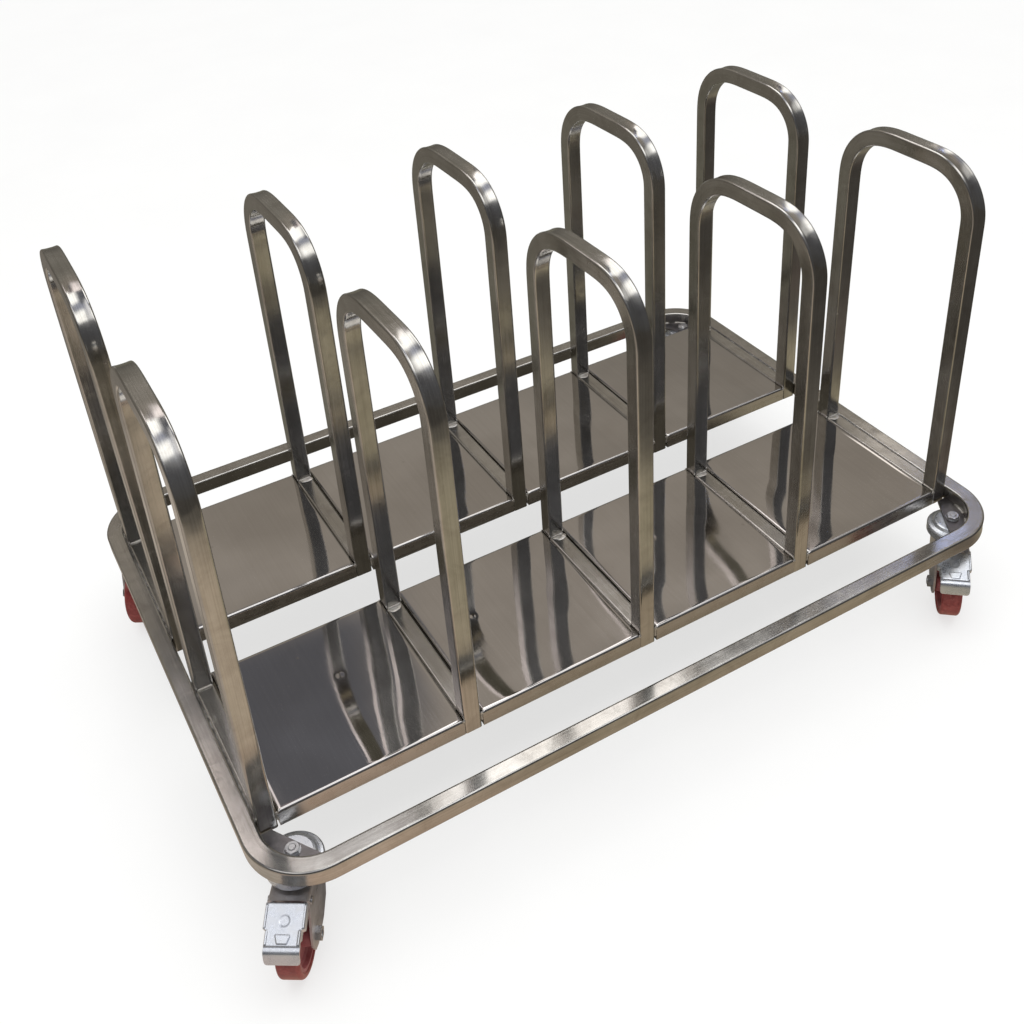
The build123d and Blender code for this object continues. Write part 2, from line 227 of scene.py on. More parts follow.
def make_dressed_weld():
    """Weld metal ground back nearly flush: grey, scratched across, mottled where the wheel missed it. Its dark tone is
    painted shade of the groove along the joint it fills.
    """
    m = Mat("dressed_weld", Metallic=1.0)
    obj = m.obj()
    cloud = m.noise(obj, 70.0, 4.0, 0.62, 0.4)
    scratch = m.noise(m.scaled(obj, (90.0, 1500.0, 90.0)), 1.0, 3.0, 0.6, 0.5)
    # dark base tones: painted shade of the joint's groove, over the weld's own mottle
    base = m.ramp(cloud, [(0.32, (0.09, 0.085, 0.08)), (0.50, (0.20, 0.195, 0.185)), (0.66, (0.40, 0.39, 0.37))])
    rough = m.math("ADD", m.span(cloud, 0.3, 0.7, 0.26, 0.40), m.span(scratch, 0.3, 0.7, -0.05, 0.07), clamp=True)
    n = m.bump(scratch, 0.00004, 0.6)
    n = m.bump(cloud, 0.0003, 0.3, n)
    return m.set(Base_Color=base, Roughness=rough, Normal=n)


def make_zinc():
    """Bright zinc on pressed steel: cool, slightly cloudy, with fine drawing lines and handling marks."""
    m = Mat("bright_zinc", Metallic=0.90)
    obj = m.obj()
    cloud = m.noise(obj, 60.0, 4.0, 0.6, 0.3)
    fine = m.noise(obj, 700.0, 3.0, 0.6)
    cells = m.node("ShaderNodeTexVoronoi", {"Vector": obj, "Scale": 260.0}, feature="F1").outputs["Color"]
    cell = m.node("ShaderNodeSeparateColor", {"Color": cells}).outputs[0]
    base = m.ramp(cloud, [(0.30, (0.56, 0.595, 0.65)), (0.50, (0.68, 0.71, 0.755)), (0.70, (0.755, 0.775, 0.80))])
    base = m.mix(0.10, base, m.ramp(cell, [(0.0, (0.60, 0.62, 0.66)), (1.0, (0.80, 0.80, 0.80))]))
    rough = m.math("ADD", m.span(cloud, 0.3, 0.7, 0.22, 0.36), m.span(fine, 0.3, 0.7, -0.04, 0.05))
    rough = m.math("ADD", rough, m.span(cell, 0.0, 1.0, -0.02, 0.03), clamp=True)
    n = m.bump(cloud, 0.0004, 0.25)
    n = m.bump(fine, 0.00002, 0.5, n)
    return m.set(Base_Color=base, Roughness=rough, Normal=n)


def make_fastener():
    """Zinc-plated turned steel: fine turning rings and dulled flats."""
    m = Mat("plated_fastener", Metallic=1.0)
    obj = m.obj()
    cloud = m.noise(obj, 120.0, 4.0, 0.6)
    turn = m.noise(m.scaled(obj, (90.0, 90.0, 2600.0)), 1.0, 2.0, 0.5)
    base = m.ramp(cloud, [(0.30, (0.44, 0.445, 0.46)), (0.55, (0.62, 0.625, 0.64)), (0.72, (0.70, 0.69, 0.67))])
    rough = m.math("ADD", m.span(cloud, 0.3, 0.7, 0.24, 0.40), m.span(turn, 0.3, 0.7, -0.05, 0.07), clamp=True)
    n = m.bump(turn, 0.00002, 0.6)
    n = m.bump(cloud, 0.0002, 0.3, n)
    return m.set(Base_Color=base, Roughness=rough, Normal=n)


def make_tyre():
    """Cast polyurethane: deep red, semi-gloss, with rolling scuffs and a little dust."""
    m = Mat("red_polyurethane", Specular_IOR_Level=0.5)
    obj = m.obj()
    cloud = m.noise(obj, 110.0, 5.0, 0.66, 0.6)
    fine = m.noise(obj, 420.0, 4.0, 0.65)
    scuff = m.noise(m.scaled(obj, (1, 1, 1), (0.3, 0.9, 0.2)), 150.0, 5.0, 0.7, 1.5)
    base = m.ramp(cloud, [(0.30, (0.145, 0.016, 0.016)), (0.52, (0.225, 0.034, 0.030)), (0.72, (0.31, 0.062, 0.052))])
    base = m.mix(m.span(scuff, 0.56, 0.76, 0.0, 0.5), base, (0.42, 0.19, 0.17))
    rough = m.math("ADD", m.span(cloud, 0.3, 0.7, 0.30, 0.42), m.span(scuff, 0.56, 0.78, 0.0, 0.25))
    rough = m.math("ADD", rough, m.span(fine, 0.3, 0.7, -0.04, 0.05), clamp=True)
    n = m.bump(fine, 0.00007, 0.45)
    n = m.bump(cloud, 0.0003, 0.3, n)
    return m.set(Base_Color=base, Roughness=rough, Normal=n)


def make_core():
    """Moulded nylon wheel body: duller red with a fine mould grain."""
    m = Mat("red_nylon", Specular_IOR_Level=0.5)
    obj = m.obj()
    cloud = m.noise(obj, 55.0, 3.0, 0.55)
    grain = m.noise(obj, 1100.0, 2.0, 0.5)
    base = m.ramp(cloud, [(0.32, (0.25, 0.060, 0.060)), (0.68, (0.36, 0.105, 0.105))])
    rough = m.math("ADD", m.span(cloud, 0.3, 0.7, 0.40, 0.52), m.span(grain, 0.3, 0.7, -0.05, 0.05), clamp=True)
    return m.set(Base_Color=base, Roughness=rough, Normal=m.bump(grain, 0.00005, 0.5))


def make_lip_steel():
    """The tray's folded edges: the same sheet, scuffed satin by the folding and handling."""
    m = Mat("satin_fold", Metallic=1.0)
    obj = m.obj()
    scuff = m.noise(m.scaled(obj, (7.0, 7.0, 160.0)), 1.0, 4.0, 0.6, 0.3)
    cloud = m.noise(obj, 38.0, 4.0, 0.6, 0.4)
    base = m.ramp(m.math("ADD", m.math("MULTIPLY", cloud, 0.55), m.math("MULTIPLY", scuff, 0.45)),
                  [(0.34, (0.44, 0.42, 0.40)), (0.52, (0.56, 0.54, 0.52)), (0.68, (0.62, 0.605, 0.59))])
    rough = m.math("ADD", m.span(cloud, 0.3, 0.7, 0.24, 0.34), m.span(scuff, 0.3, 0.7, -0.05, 0.06), clamp=True)
    n = m.bump(scuff, 0.00008, 0.5)
    return m.set(Base_Color=base, Roughness=rough, Normal=n)


def make_dull_zinc():
    """Older, duller zinc on the fork pressings: greyed, with pinkish-brown handling film."""
    m = Mat("dull_zinc", Metallic=0.82)
    obj = m.obj()
    cloud = m.noise(obj, 48.0, 5.0, 0.62, 0.5)
    fine = m.noise(obj, 620.0, 3.0, 0.6)
    film = m.noise(m.scaled(obj, (1, 1, 1), (2.0, 0.6, 1.1)), 90.0, 4.0, 0.65, 0.8)
    base = m.ramp(cloud, [(0.30, (0.42, 0.395, 0.40)), (0.50, (0.55, 0.525, 0.53)), (0.70, (0.64, 0.62, 0.62))])
    base = m.mix(m.span(film, 0.48, 0.70, 0.0, 0.45), base, (0.40, 0.33, 0.31))
    rough = m.math("ADD", m.span(cloud, 0.3, 0.7, 0.28, 0.42), m.span(fine, 0.3, 0.7, -0.05, 0.06), clamp=True)
    n = m.bump(cloud, 0.0004, 0.25)
    n = m.bump(fine, 0.00002, 0.5, n)
    return m.set(Base_Color=base, Roughness=rough, Normal=n)


TUBE_STEEL, SHEET_STEEL, PLATE_STEEL = make_tube_steel(), make_sheet_steel(), make_plate_steel()
LIP_STEEL, DULL_ZINC, DRESSED = make_lip_steel(), make_dull_zinc(), make_dressed_weld()
WELD, ZINC, FASTENER, TYRE, CORE = make_weld(), make_zinc(), make_fastener(), make_tyre(), make_core()


# ---- mesh helpers --------------------------------------------------------------------
def piece(name, verts, faces, material, body, uvs=None, stands_for=(), sharp=None, weighted=True):
    """A mesh piece from points in metres; uvs run along the face corners."""
    me = bpy.data.meshes.new(name)
    me.from_pydata([tuple(v) for v in verts], [], [tuple(f) for f in faces])
    if uvs is not None:
        layer = me.uv_layers.new(name="run")
        layer.data.foreach_set("uv", np.asarray(uvs, np.float32).ravel())
    me.polygons.foreach_set("use_smooth", [True] * len(me.polygons))
    me.materials.append(material)
    me.validate()
    me.update()
    if sharp is not None:
        me.set_sharp_from_angle(angle=math.radians(sharp))
    o = bpy.data.objects.new(name, me)
    scene.collection.objects.link(o)
    if weighted:
        mod = o.modifiers.new("normals", "WEIGHTED_NORMAL")
        mod.mode = "FACE_AREA"
        mod.weight = 60
        mod.keep_sharp = True
        bpy.context.view_layer.update()
        done = bpy.data.meshes.new_from_object(o.evaluated_get(bpy.context.evaluated_depsgraph_get()))
        o.modifiers.clear()
        o.data = done
        done.name = name
        bpy.data.meshes.remove(me)
    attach(o, body)
    if stands_for:
        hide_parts(*stands_for)
    return o


def square_section(half, radius, arc=5, cuts=(-0.94, -0.5, 0.0, 0.5, 0.94)):
    """Rounded square as (a, b) points in order round it, and the distance round it at each."""
    flat = half - radius
    pts = []
    for k in range(4):
        q = math.radians(90 * k)
        c, s = math.cos(q), math.sin(q)

        def turn(a, b):
            return (a * c - b * s, a * s + b * c)
        for t in cuts:
            pts.append(turn(half, flat * t))
        for i in range(arc + 1):
            w = math.pi / 2 * i / arc
            pts.append(turn(flat + radius * math.cos(w), flat + radius * math.sin(w)))
        # the last arc point starts the next flat, so both ends of each arc are kept
    p = np.array(pts)
    run = np.concatenate([[0.0], np.cumsum(np.linalg.norm(np.roll(p, -1, 0) - p, axis=1))])
    return p, run


def sweep(c, a_dir, b_dir, s, section, run, closed, shape=None):
    """Skin of a section carried along a line. Returns points, faces and the corner UVs (metres)."""
    n, m = len(c), len(section)
    ab = np.repeat(section[None], n, 0).copy()
    if shape is not None:
        ab = shape(ab)
    pts = c[:, None, :] + ab[..., :1] * a_dir[:, None, :] + ab[..., 1:] * b_dir[:, None, :]
    faces, uvs = [], []
    last = n if closed else n - 1
    e1 = pts[1, 0] - pts[0, 0]
    e2 = pts[0, 1] - pts[0, 0]
    out = section[0, 0] * a_dir[0] + section[0, 1] * b_dir[0]
    flip = np.dot(np.cross(e2, e1), out) < 0
    for i in range(last):
        k = (i + 1) % n
        u0, u1 = s[i], (s[k] if k else s[i] + np.linalg.norm(c[0] - c[i]))
        for j in range(m):
            l = (j + 1) % m
            f = [i * m + j, i * m + l, k * m + l, k * m + j]
            t = [(u0, run[j]), (u0, run[j + 1]), (u1, run[j + 1]), (u1, run[j])]
            if flip:
                f.reverse(), t.reverse()
            faces.append(f)
            uvs += t
    return pts.reshape(-1, 3), faces, np.array(uvs) / 1000.0


SECTION, ROUND = square_section(HALF, TUBE_R)
INNER, INNER_ROUND = square_section(HALF - WALL, TUBE_R - WALL)


def smooth01(t):
    t = np.clip(t, 0, 1)
    return t * t * (3 - 2 * t)


def bent_shape(weight, dish_out, dish_in, half=HALF):
    """A bent square tube: its outer and inner faces dish, and its cheeks spread a little at the inside."""
    flat = HALF - TUBE_R

    def shape(ab):
        a, b = ab[..., 0].copy(), ab[..., 1].copy()
        w = weight[:, None]
        bow = np.clip(1 - (b / flat) ** 2, 0, 1) ** 0.8
        outer = a > half - 0.4
        inner = a < -half + 0.4
        a2 = np.where(outer, a - w * dish_out * bow, np.where(inner, a + w * dish_in * bow, a))
        b2 = b * (1 + w * 0.018 * (-a / HALF))
        return np.stack([a2, b2], -1)
    return shape


def arc_run(centre, radius, start, end, steps, place):
    """Points on an arc; place(angle) gives the outward direction."""
    out = []
    for i in range(1, steps):
        t = i / steps
        d = place(start + (end - start) * t)
        out.append((centre + radius * d, d, smooth01(min(t, 1 - t) / 0.22)))
    return out


# ---- hoops: inverted U of bent tube, open at the feet ----------------------------------
def bend_line(radius, run_in, run_out):
    """A drawn bend: curvature grows from the top run and dies away into the leg.
    Gives, every few millimetres from the top tangent: the way along it, out along Y, down, and the turn."""
    even = radius * math.pi / 2 - (run_in + run_out) / 2
    total = run_in + even + run_out
    s = np.linspace(0.0, total, 2401)
    curve = np.minimum(np.minimum(s / run_in, 1.0), (total - s) / run_out) / radius

    def grow(v):
        return np.concatenate([[0.0], np.cumsum((v[1:] + v[:-1]) / 2 * np.diff(s))])
    q = grow(curve)
    q *= math.pi / 2 / q[-1]
    y, z = grow(np.cos(q)), grow(np.sin(q))
    at = np.linspace(0.0, total, int(total / 4.0) + 1)
    return at, np.interp(at, s, y), np.interp(at, s, z), np.interp(at, s, q)


def hoop_line(row, x, y0, y1, lean, every=1):
    ends = {"front": (y0 + HALF, -1.0, BENDS[row][0]), "back": (y1 - HALF, 1.0, BENDS[row][1])}
    half = {}
    top = HOOP_TOP - HALF
    for end, (y, sgn, sizes) in ends.items():
        at, out, down, turn = bend_line(*sizes)
        yt = y - sgn * out[-1]                      # top tangent
        total = at[-1]
        middle = (y0 + y1) / 2
        lead = np.arange(abs(yt - middle), 0.0, -4.0)[:-1] if abs(yt - middle) > 8 else np.array([])
        rows = [(yt - sgn * d, top, 0.0, -d) for d in lead]
        rows += [(yt + sgn * o, top - dn, q, t) for t, o, dn, q in zip(at, out, down, turn)]
        foot = top - down[-1]
        legs = [d for d in (4, 8, 12, 16, 22, 28, 36, 50, 80, 130, 190, 260, 330, 400) if foot - d > BOT_Z + 15] + [foot - BOT_Z]
        rows += [(y, foot - d, math.pi / 2, total + d) for d in legs]
        line = []
        for yy, zz, q, t in rows:
            # the faces dish through the bend and recover past it; less so in the slacker back bends
            w = float(smooth01((t + 6.0) / 46.0) * smooth01((total + 18.0 - t) / 50.0)) * (1.0 if end == "front" else 0.4)
            line.append(((yy, zz), (sgn * math.sin(q), math.cos(q)), w))
        half[end] = line
    rows = list(reversed(half["front"])) + half["back"][1:]
    keep = [i for i in range(len(rows)) if i % every == 0 or i == len(rows) - 1]
    rows = [rows[i] for i in keep]
    c = np.array([(x + lean * (r[0][1] - TOP_Z) / (HOOP_TOP - TOP_Z), r[0][0], r[0][1]) for r in rows])
    a = np.array([(0.0, r[1][0], r[1][1]) for r in rows])
    w = np.array([r[2] for r in rows])
    b = np.repeat(np.array([[1.0, 0.0, 0.0]]), len(rows), 0)
    s = np.concatenate([[0.0], np.cumsum(np.linalg.norm(np.diff(c, axis=0), axis=1))])
    return c, a, b, s, w


def hoop(row, name, x, y0, y1, seed):
    rng = random.Random(seed)
    lean = LEAN.get(name, rng.uniform(-1.2, 1.2))
    c, a, b, s, w = hoop_line(row, x, y0, y1, lean)
    p, f, uv = sweep(c, a, b, s, SECTION, ROUND, False, bent_shape(w, 1.5, 0.8))
    ci, ai, bi, si, wi = hoop_line(row, x, y0, y1, lean, 2)
    q, g, uw = sweep(ci, ai, bi, si, INNER, INNER_ROUND, False, bent_shape(wi, 1.5, 0.8, HALF - WALL))
    m = len(SECTION)
    k = len(p)
    g = [[k + v for v in reversed(t)] for t in g]
    faces = f + g
    uvs = [uv, uw.reshape(-1, 4, 2)[:, ::-1].reshape(-1, 2)]
    extra = []
    for end, (o0, i0) in enumerate(((0, k), ((len(c) - 1) * m, k + (len(ci) - 1) * m))):
        for j in range(m):
            l = (j + 1) % m
            t = [o0 + j, o0 + l, i0 + l, i0 + j]
            if end == 1:
                t.reverse()
            extra.append(t)
            uvs.append(np.zeros((4, 2)) + np.array([[s[0 if end == 0 else -1], ROUND[j]]]) / 1000)
    pts = np.vstack([p, q])
    rim = extra[0]
    nrm = np.cross(pts[rim[1]] - pts[rim[0]], pts[rim[2]] - pts[rim[1]])
    if nrm[2] > 0:
        extra = [list(reversed(t)) for t in extra]
    uvs = np.vstack(uvs) + np.array([rng.uniform(0, 40), rng.uniform(0, 5)])
    return piece(name + "_tube", metres(pts), faces + extra, TUBE_STEEL, "frame", uvs, [name], sharp=50)


n_hoop = 0
for row, (y0, y1) in ROW_Y.items():
    for i, x in enumerate(HOOP_X, 1):
        n_hoop += 1
        hoop(row, f"{row}_hoop_{i}", x, y0, y1, 100 + n_hoop)


# ---- ring: one bent tube all the way round ----------------------------------------------
def ring_line(steps):
    hx, hy = LENGTH / 2, WIDTH / 2
    sx, sy = hx - BEND_R, hy - BEND_R
    rc = BEND_R - HALF
    zc = (TOP_Z + BOT_Z) / 2

    def radial(q):
        return np.array([math.cos(q), math.sin(q), 0.0])
    rows = []
    corners = [(-sx, sy, 90, 180), (-sx, -sy, 180, 270), (sx, -sy, 270, 360), (sx, sy, 0, 90)]
    start = np.array([0.0, hy - HALF, zc])
    rows.append((start, radial(math.pi / 2), 0.0))
    for cx, cy, q0, q1 in corners:
        c = np.array([cx, cy, zc])
        a0, a1 = math.radians(q0), math.radians(q1)
        rows.append((c + rc * radial(a0), radial(a0), 0.0))
        rows += arc_run(c, rc, a0, a1, steps, radial)
        rows.append((c + rc * radial(a1), radial(a1), 0.0))
    # straight runs are cut into shorter lengths
    out = []
    for k, r in enumerate(rows):
        out.append(r)
        nxt = rows[(k + 1) % len(rows)]
        d = np.linalg.norm(nxt[0] - r[0])
        parts = int(d // 90)
        for j in range(1, parts):
            out.append((r[0] + (nxt[0] - r[0]) * j / parts, r[1], 0.0))
    c = np.array([r[0] for r in out])
    a = np.array([r[1] for r in out])
    w = np.array([r[2] for r in out])
    b = np.repeat(np.array([[0.0, 0.0, 1.0]]), len(out), 0)
    # the bends have rolled the left run a little outwards
    roll = (0.042 * np.clip(-a[:, 0], 0, 1) ** 6)[:, None]
    a, b = a * np.cos(roll) - b * np.sin(roll), b * np.cos(roll) + a * np.sin(roll)
    s = np.concatenate([[0.0], np.cumsum(np.linalg.norm(np.diff(c, axis=0), axis=1))])
    return c, a, b, s, w


c, a, b, s, w = ring_line(26)
p, f, uv = sweep(c, a, b, s, SECTION, ROUND, True, bent_shape(w, 0.4, 1.0))
piece("perimeter_frame_tube", metres(p), f, TUBE_STEEL, "frame", uv, ["perimeter_frame"])


# ---- crossbars under the hoops -------------------------------------------------------------
def straight_tube(p0, p1, a_dir, b_dir, seed, steps=4):
    rng = random.Random(seed)
    c = np.linspace(p0, p1, steps)
    n = len(c)
    s = np.linspace(0, np.linalg.norm(np.subtract(p1, p0)), n)
    q, f, uv = sweep(c, np.repeat([a_dir], n, 0).astype(float), np.repeat([b_dir], n, 0).astype(float), s, SECTION, ROUND, False)
    m = len(SECTION)
    # closed ends
    first, lastr = list(range(m)), list(range((n - 1) * m, n * m))
    out = np.array(p0) - np.array(p1)
    v = np.cross(q[first[8]] - q[first[0]], q[first[20]] - q[first[8]])
    if np.dot(v, out) < 0:
        first.reverse()
    else:
        lastr.reverse()
    f = f + [first, lastr]
    uv = np.vstack([uv, np.zeros((2 * m, 2))]) + np.array([rng.uniform(0, 40), rng.uniform(0, 5)])
    return q, f, uv


def joined(parts):
    pts, faces, uvs, k = [], [], [], 0
    for p, f, uv in parts:
        pts.append(p)
        faces += [[k + v for v in t] for t in f]
        uvs.append(uv)
        k += len(p)
    return np.vstack(pts), faces, np.vstack(uvs)


for r, (row, (y0, y1)) in enumerate(ROW_Y.items()):
    bars = []
    for i, x in enumerate(HOOP_X):
        zc = (TOP_Z + BOT_Z) / 2
        bars.append(straight_tube((x, y0 + TUBE, zc), (x, y1 - TUBE, zc), (0, 0, 1), (1, 0, 0), 300 + 10 * r + i))
    p, f, uv = joined(bars)
    piece(f"{row}_row_crossbars_tube", metres(p), f, TUBE_STEEL, "frame", uv, [f"{row}_row_crossbars"], sharp=50)


# ---- trays: folded sheet, a little dished --------------------------------------------------
def waves(rng, count, low, high):
    """A sum of seeded sine waves: (amplitude share, kx, ky, phase)."""
    out = []
    for _ in range(count):
        length = rng.uniform(low, high)
        q = rng.uniform(0, math.pi)
        out.append((length / high, 2 * math.pi / length * math.cos(q), 2 * math.pi / length * math.sin(q), rng.uniform(0, 6.28)))
    return out


def tray(name, xa, xb, y0, y1, seed, dents=()):
    rng = random.Random(seed)
    wl = waves(rng, 6, 170.0, 420.0)
    nx = ny = 96 if dents else 48
    front = 0.5 + 0.25 * rng.random()

    def sag(x, y):
        """How far the sheet lies below the fold line: it falls away fastest from the front fold."""
        ex = np.minimum(x - xa, xb - x) - FOLD_R
        ey0, ey1 = y - y0 - FOLD_R, y1 - y - FOLD_R
        u = np.clip(ex / 26.0, 0, 1)
        v = np.clip(np.minimum(ey0, ey1) / 30.0, 0, 1)
        ripple = sum(k * np.sin(ax * x + ay * y + ph) for k, ax, ay, ph in wl) * 0.03
        fall = front * (1 - np.exp(-np.maximum(ey0, 0) / 26.0)) * smooth01(np.clip(ey1 / 150.0, 0, 1))
        depth = fall * smooth01(np.clip(ex / 60.0, 0, 1)) + ripple * smooth01(u) * smooth01(v)
        for dx, dy, r, d in dents:
            depth = depth + d * np.exp(-((x - dx) ** 2 + (y - dy) ** 2) / (r * r))
        return depth

    def loop(inset, z, extra=None):
        """Rectangle loop of 2(nx + ny) points at an inset from the outside."""
        x_0, x_1, y_0, y_1 = xa + inset, xb - inset, y0 + inset, y1 - inset
        out = []
        for i in range(nx):
            out.append((x_0 + (x_1 - x_0) * i / nx, y_0, z))
        for i in range(ny):
            out.append((x_1, y_0 + (y_1 - y_0) * i / ny, z))
        for i in range(nx):
            out.append((x_1 - (x_1 - x_0) * i / nx, y_1, z))
        for i in range(ny):
            out.append((x_0, y_1 - (y_1 - y_0) * i / ny, z))
        return out

    pts, faces = [], []

    def grid(inset, z):
        base = len(pts)
        for j in range(ny + 1):
            for i in range(nx + 1):
                x = xa + inset + (xb - xa - 2 * inset) * i / nx
                y = y0 + inset + (y1 - y0 - 2 * inset) * j / ny
                inside = 0 < i < nx and 0 < j < ny
                pts.append((x, y, z - (float(sag(np.float64(x), np.float64(y))) if inside else 0.0)))
        rim = ([base + i for i in range(nx)] + [base + j * (nx + 1) + nx for j in range(ny)]
               + [base + ny * (nx + 1) + nx - i for i in range(nx)] + [base + (ny - j) * (nx + 1) for j in range(ny)])
        quads = [[base + j * (nx + 1) + i, base + j * (nx + 1) + i + 1, base + (j + 1) * (nx + 1) + i + 1,
                  base + (j + 1) * (nx + 1) + i] for j in range(ny) for i in range(nx)]
        return rim, quads

    def bridge(r0, r1):
        n = len(r0)
        return [[r0[i], r1[i], r1[(i + 1) % n], r0[(i + 1) % n]] for i in range(n)]

    def add(points):
        base = len(pts)
        pts.extend(points)
        return list(range(base, base + len(points)))

    ri = FOLD_R - SHEET
    rim, quads = grid(FOLD_R, TOP_Z)
    faces += quads
    prev = rim
    for k in range(1, 7):
        q = math.pi / 2 * k / 6
        cur = add(loop(FOLD_R * (1 - math.sin(q)), TOP_Z - FOLD_R * (1 - math.cos(q))))
        faces += bridge(prev, cur)
        prev = cur
    for z in (TOP_Z - 12.0, TOP_Z - LIP + 0.4):
        cur = add(loop(0.0, z))
        faces += bridge(prev, cur)
        prev = cur
    cur = add(loop(0.35, TOP_Z - LIP))
    faces += bridge(prev, cur)
    prev = cur
    cur = add(loop(SHEET - 0.35, TOP_Z - LIP))
    faces += bridge(prev, cur)
    prev = cur
    for z in (TOP_Z - LIP + 0.4, TOP_Z - 12.0):
        cur = add(loop(SHEET, z))
        faces += bridge(prev, cur)
        prev = cur
    for k in range(6, 0, -2):
        q = math.pi / 2 * k / 6
        cur = add(loop(SHEET + ri * (1 - math.sin(q)), TOP_Z - SHEET - ri * (1 - math.cos(q))))
        faces += bridge(prev, cur)
        prev = cur
    rim, quads = grid(FOLD_R, TOP_Z - SHEET)
    faces += bridge(prev, rim)
    faces += [list(reversed(t)) for t in quads]
    p = np.array(pts)
    uv = np.array([(p[v][0], p[v][1]) for t in faces for v in t]) / 1000.0
    o = piece(name + "_sheet", metres(p), faces, SHEET_STEEL, "frame", uv, [name], sharp=60)
    o.data.materials.append(LIP_STEEL)
    for f in o.data.polygons:
        if abs(f.normal.z) < 0.3:
            f.material_index = 1
    return o


# small dents in the sheet: x, y, radius, depth
DENTS = {"front_tray_1": ((-397.1, -144.7, 3.8, 0.40), (-371.0, -225.0, 18.0, 0.06)), "front_tray_2": ((-191.2, -146.1, 3.4, 0.2),),
         "front_tray_3": ((120.0, -150.0, 3.4, 0.2),)}
k = 0
for row, (y0, y1) in ROW_Y.items():
    for i in range(4):
        k += 1
        name = f"{row}_tray_{i + 1}"
        tray(name, HOOP_X[i] + HALF + TRAY_GAP, HOOP_X[i + 1] - HALF, y0, y1, 500 + k, DENTS.get(name, ()))


# ---- welds ---------------------------------------------------------------------------------
def bead(line, radius, seed, height=1.0, up=(0, 0, 1), pitch=2.2, sides=12, taper=2.5):
    """A rippled weld bead along a line of points: closed, part sunk into the metal it joins."""
    rng = random.Random(seed)
    line = np.array(line, float)
    seg = np.linalg.norm(np.diff(line, axis=0), axis=1)
    total = seg.sum()
    n = max(6, int(total / 0.55))
    at = np.linspace(0, total, n)
    cum = np.concatenate([[0], np.cumsum(seg)])
    c = np.stack([np.interp(at, cum, line[:, k]) for k in range(3)], 1)
    t = np.gradient(c, axis=0)
    t /= np.linalg.norm(t, axis=1)[:, None]
    up = np.array(up, float)
    side = np.cross(t, up)
    side /= np.linalg.norm(side, axis=1)[:, None]
    rise = np.cross(side, t)
    pts, faces = [], []
    ph = rng.uniform(0, 6.28)
    wob = [rng.uniform(-1, 1) for _ in range(int(total / 3) + 3)]
    for i in range(n):
        s = at[i]
        e = min(s, total - s)
        k = min(1.0, 0.30 + 0.70 * math.sqrt(min(1.0, e / taper)))
        ripple = 1 + 0.10 * math.sin(2 * math.pi * s / pitch + ph) + 0.07 * np.interp(s / 3, range(len(wob)), wob)
        r = radius * k * ripple
        drift = 0.18 * radius * np.interp(s / 3 + 0.7, range(len(wob)), wob)
        for j in range(sides):
            q = 2 * math.pi * j / sides
            pts.append(c[i] + side[i] * (r * math.cos(q) + drift) + rise[i] * r * height * math.sin(q))
    for i in range(n - 1):
        for j in range(sides):
            l = (j + 1) % sides
            faces.append([i * sides + j, i * sides + l, (i + 1) * sides + l, (i + 1) * sides + j])
    faces.append(list(reversed(range(sides))))
    faces.append(list(range((n - 1) * sides, n * sides)))
    pts = np.array(pts)
    v = np.cross(pts[faces[0][1]] - pts[faces[0][0]], pts[faces[0][2]] - pts[faces[0][1]])
    if np.dot(v, pts[0] - c[0]) < 0:
        faces = [list(reversed(t)) for t in faces]
    return pts, faces, np.zeros((sum(len(t) for t in faces), 2))


def tack(centre, r, seed, squash=(1.0, 1.0, 0.75)):
    """A small round tack weld, a lumpy closed blob."""
    rng = random.Random(seed)
    rings, sides = 7, 12
    pts, faces = [], []
    lump = [rng.uniform(0.9, 1.1) for _ in range(sides)]
    centre = np.array(centre, float)
    pts.append(centre + np.array([0, 0, r * squash[2]]))
    for i in range(1, rings):
        q = math.pi * i / rings
        for j in range(sides):
            w = 2 * math.pi * j / sides
            k = r * lump[j]
            pts.append(centre + np.array([k * squash[0] * math.sin(q) * math.cos(w), k * squash[1] * math.sin(q) * math.sin(w),
                                          r * squash[2] * math.cos(q)]))
    pts.append(centre - np.array([0, 0, r * squash[2]]))
    for j in range(sides):
        l = (j + 1) % sides
        faces.append([0, 1 + j, 1 + l])
        for i in range(rings - 2):
            faces.append([1 + i * sides + j, 1 + (i + 1) * sides + j, 1 + (i + 1) * sides + l, 1 + i * sides + l])
        faces.append([len(pts) - 1, 1 + (rings - 2) * sides + l, 1 + (rings - 2) * sides + j])
    return np.array(pts), faces, np.zeros((sum(len(t) for t in faces), 2))


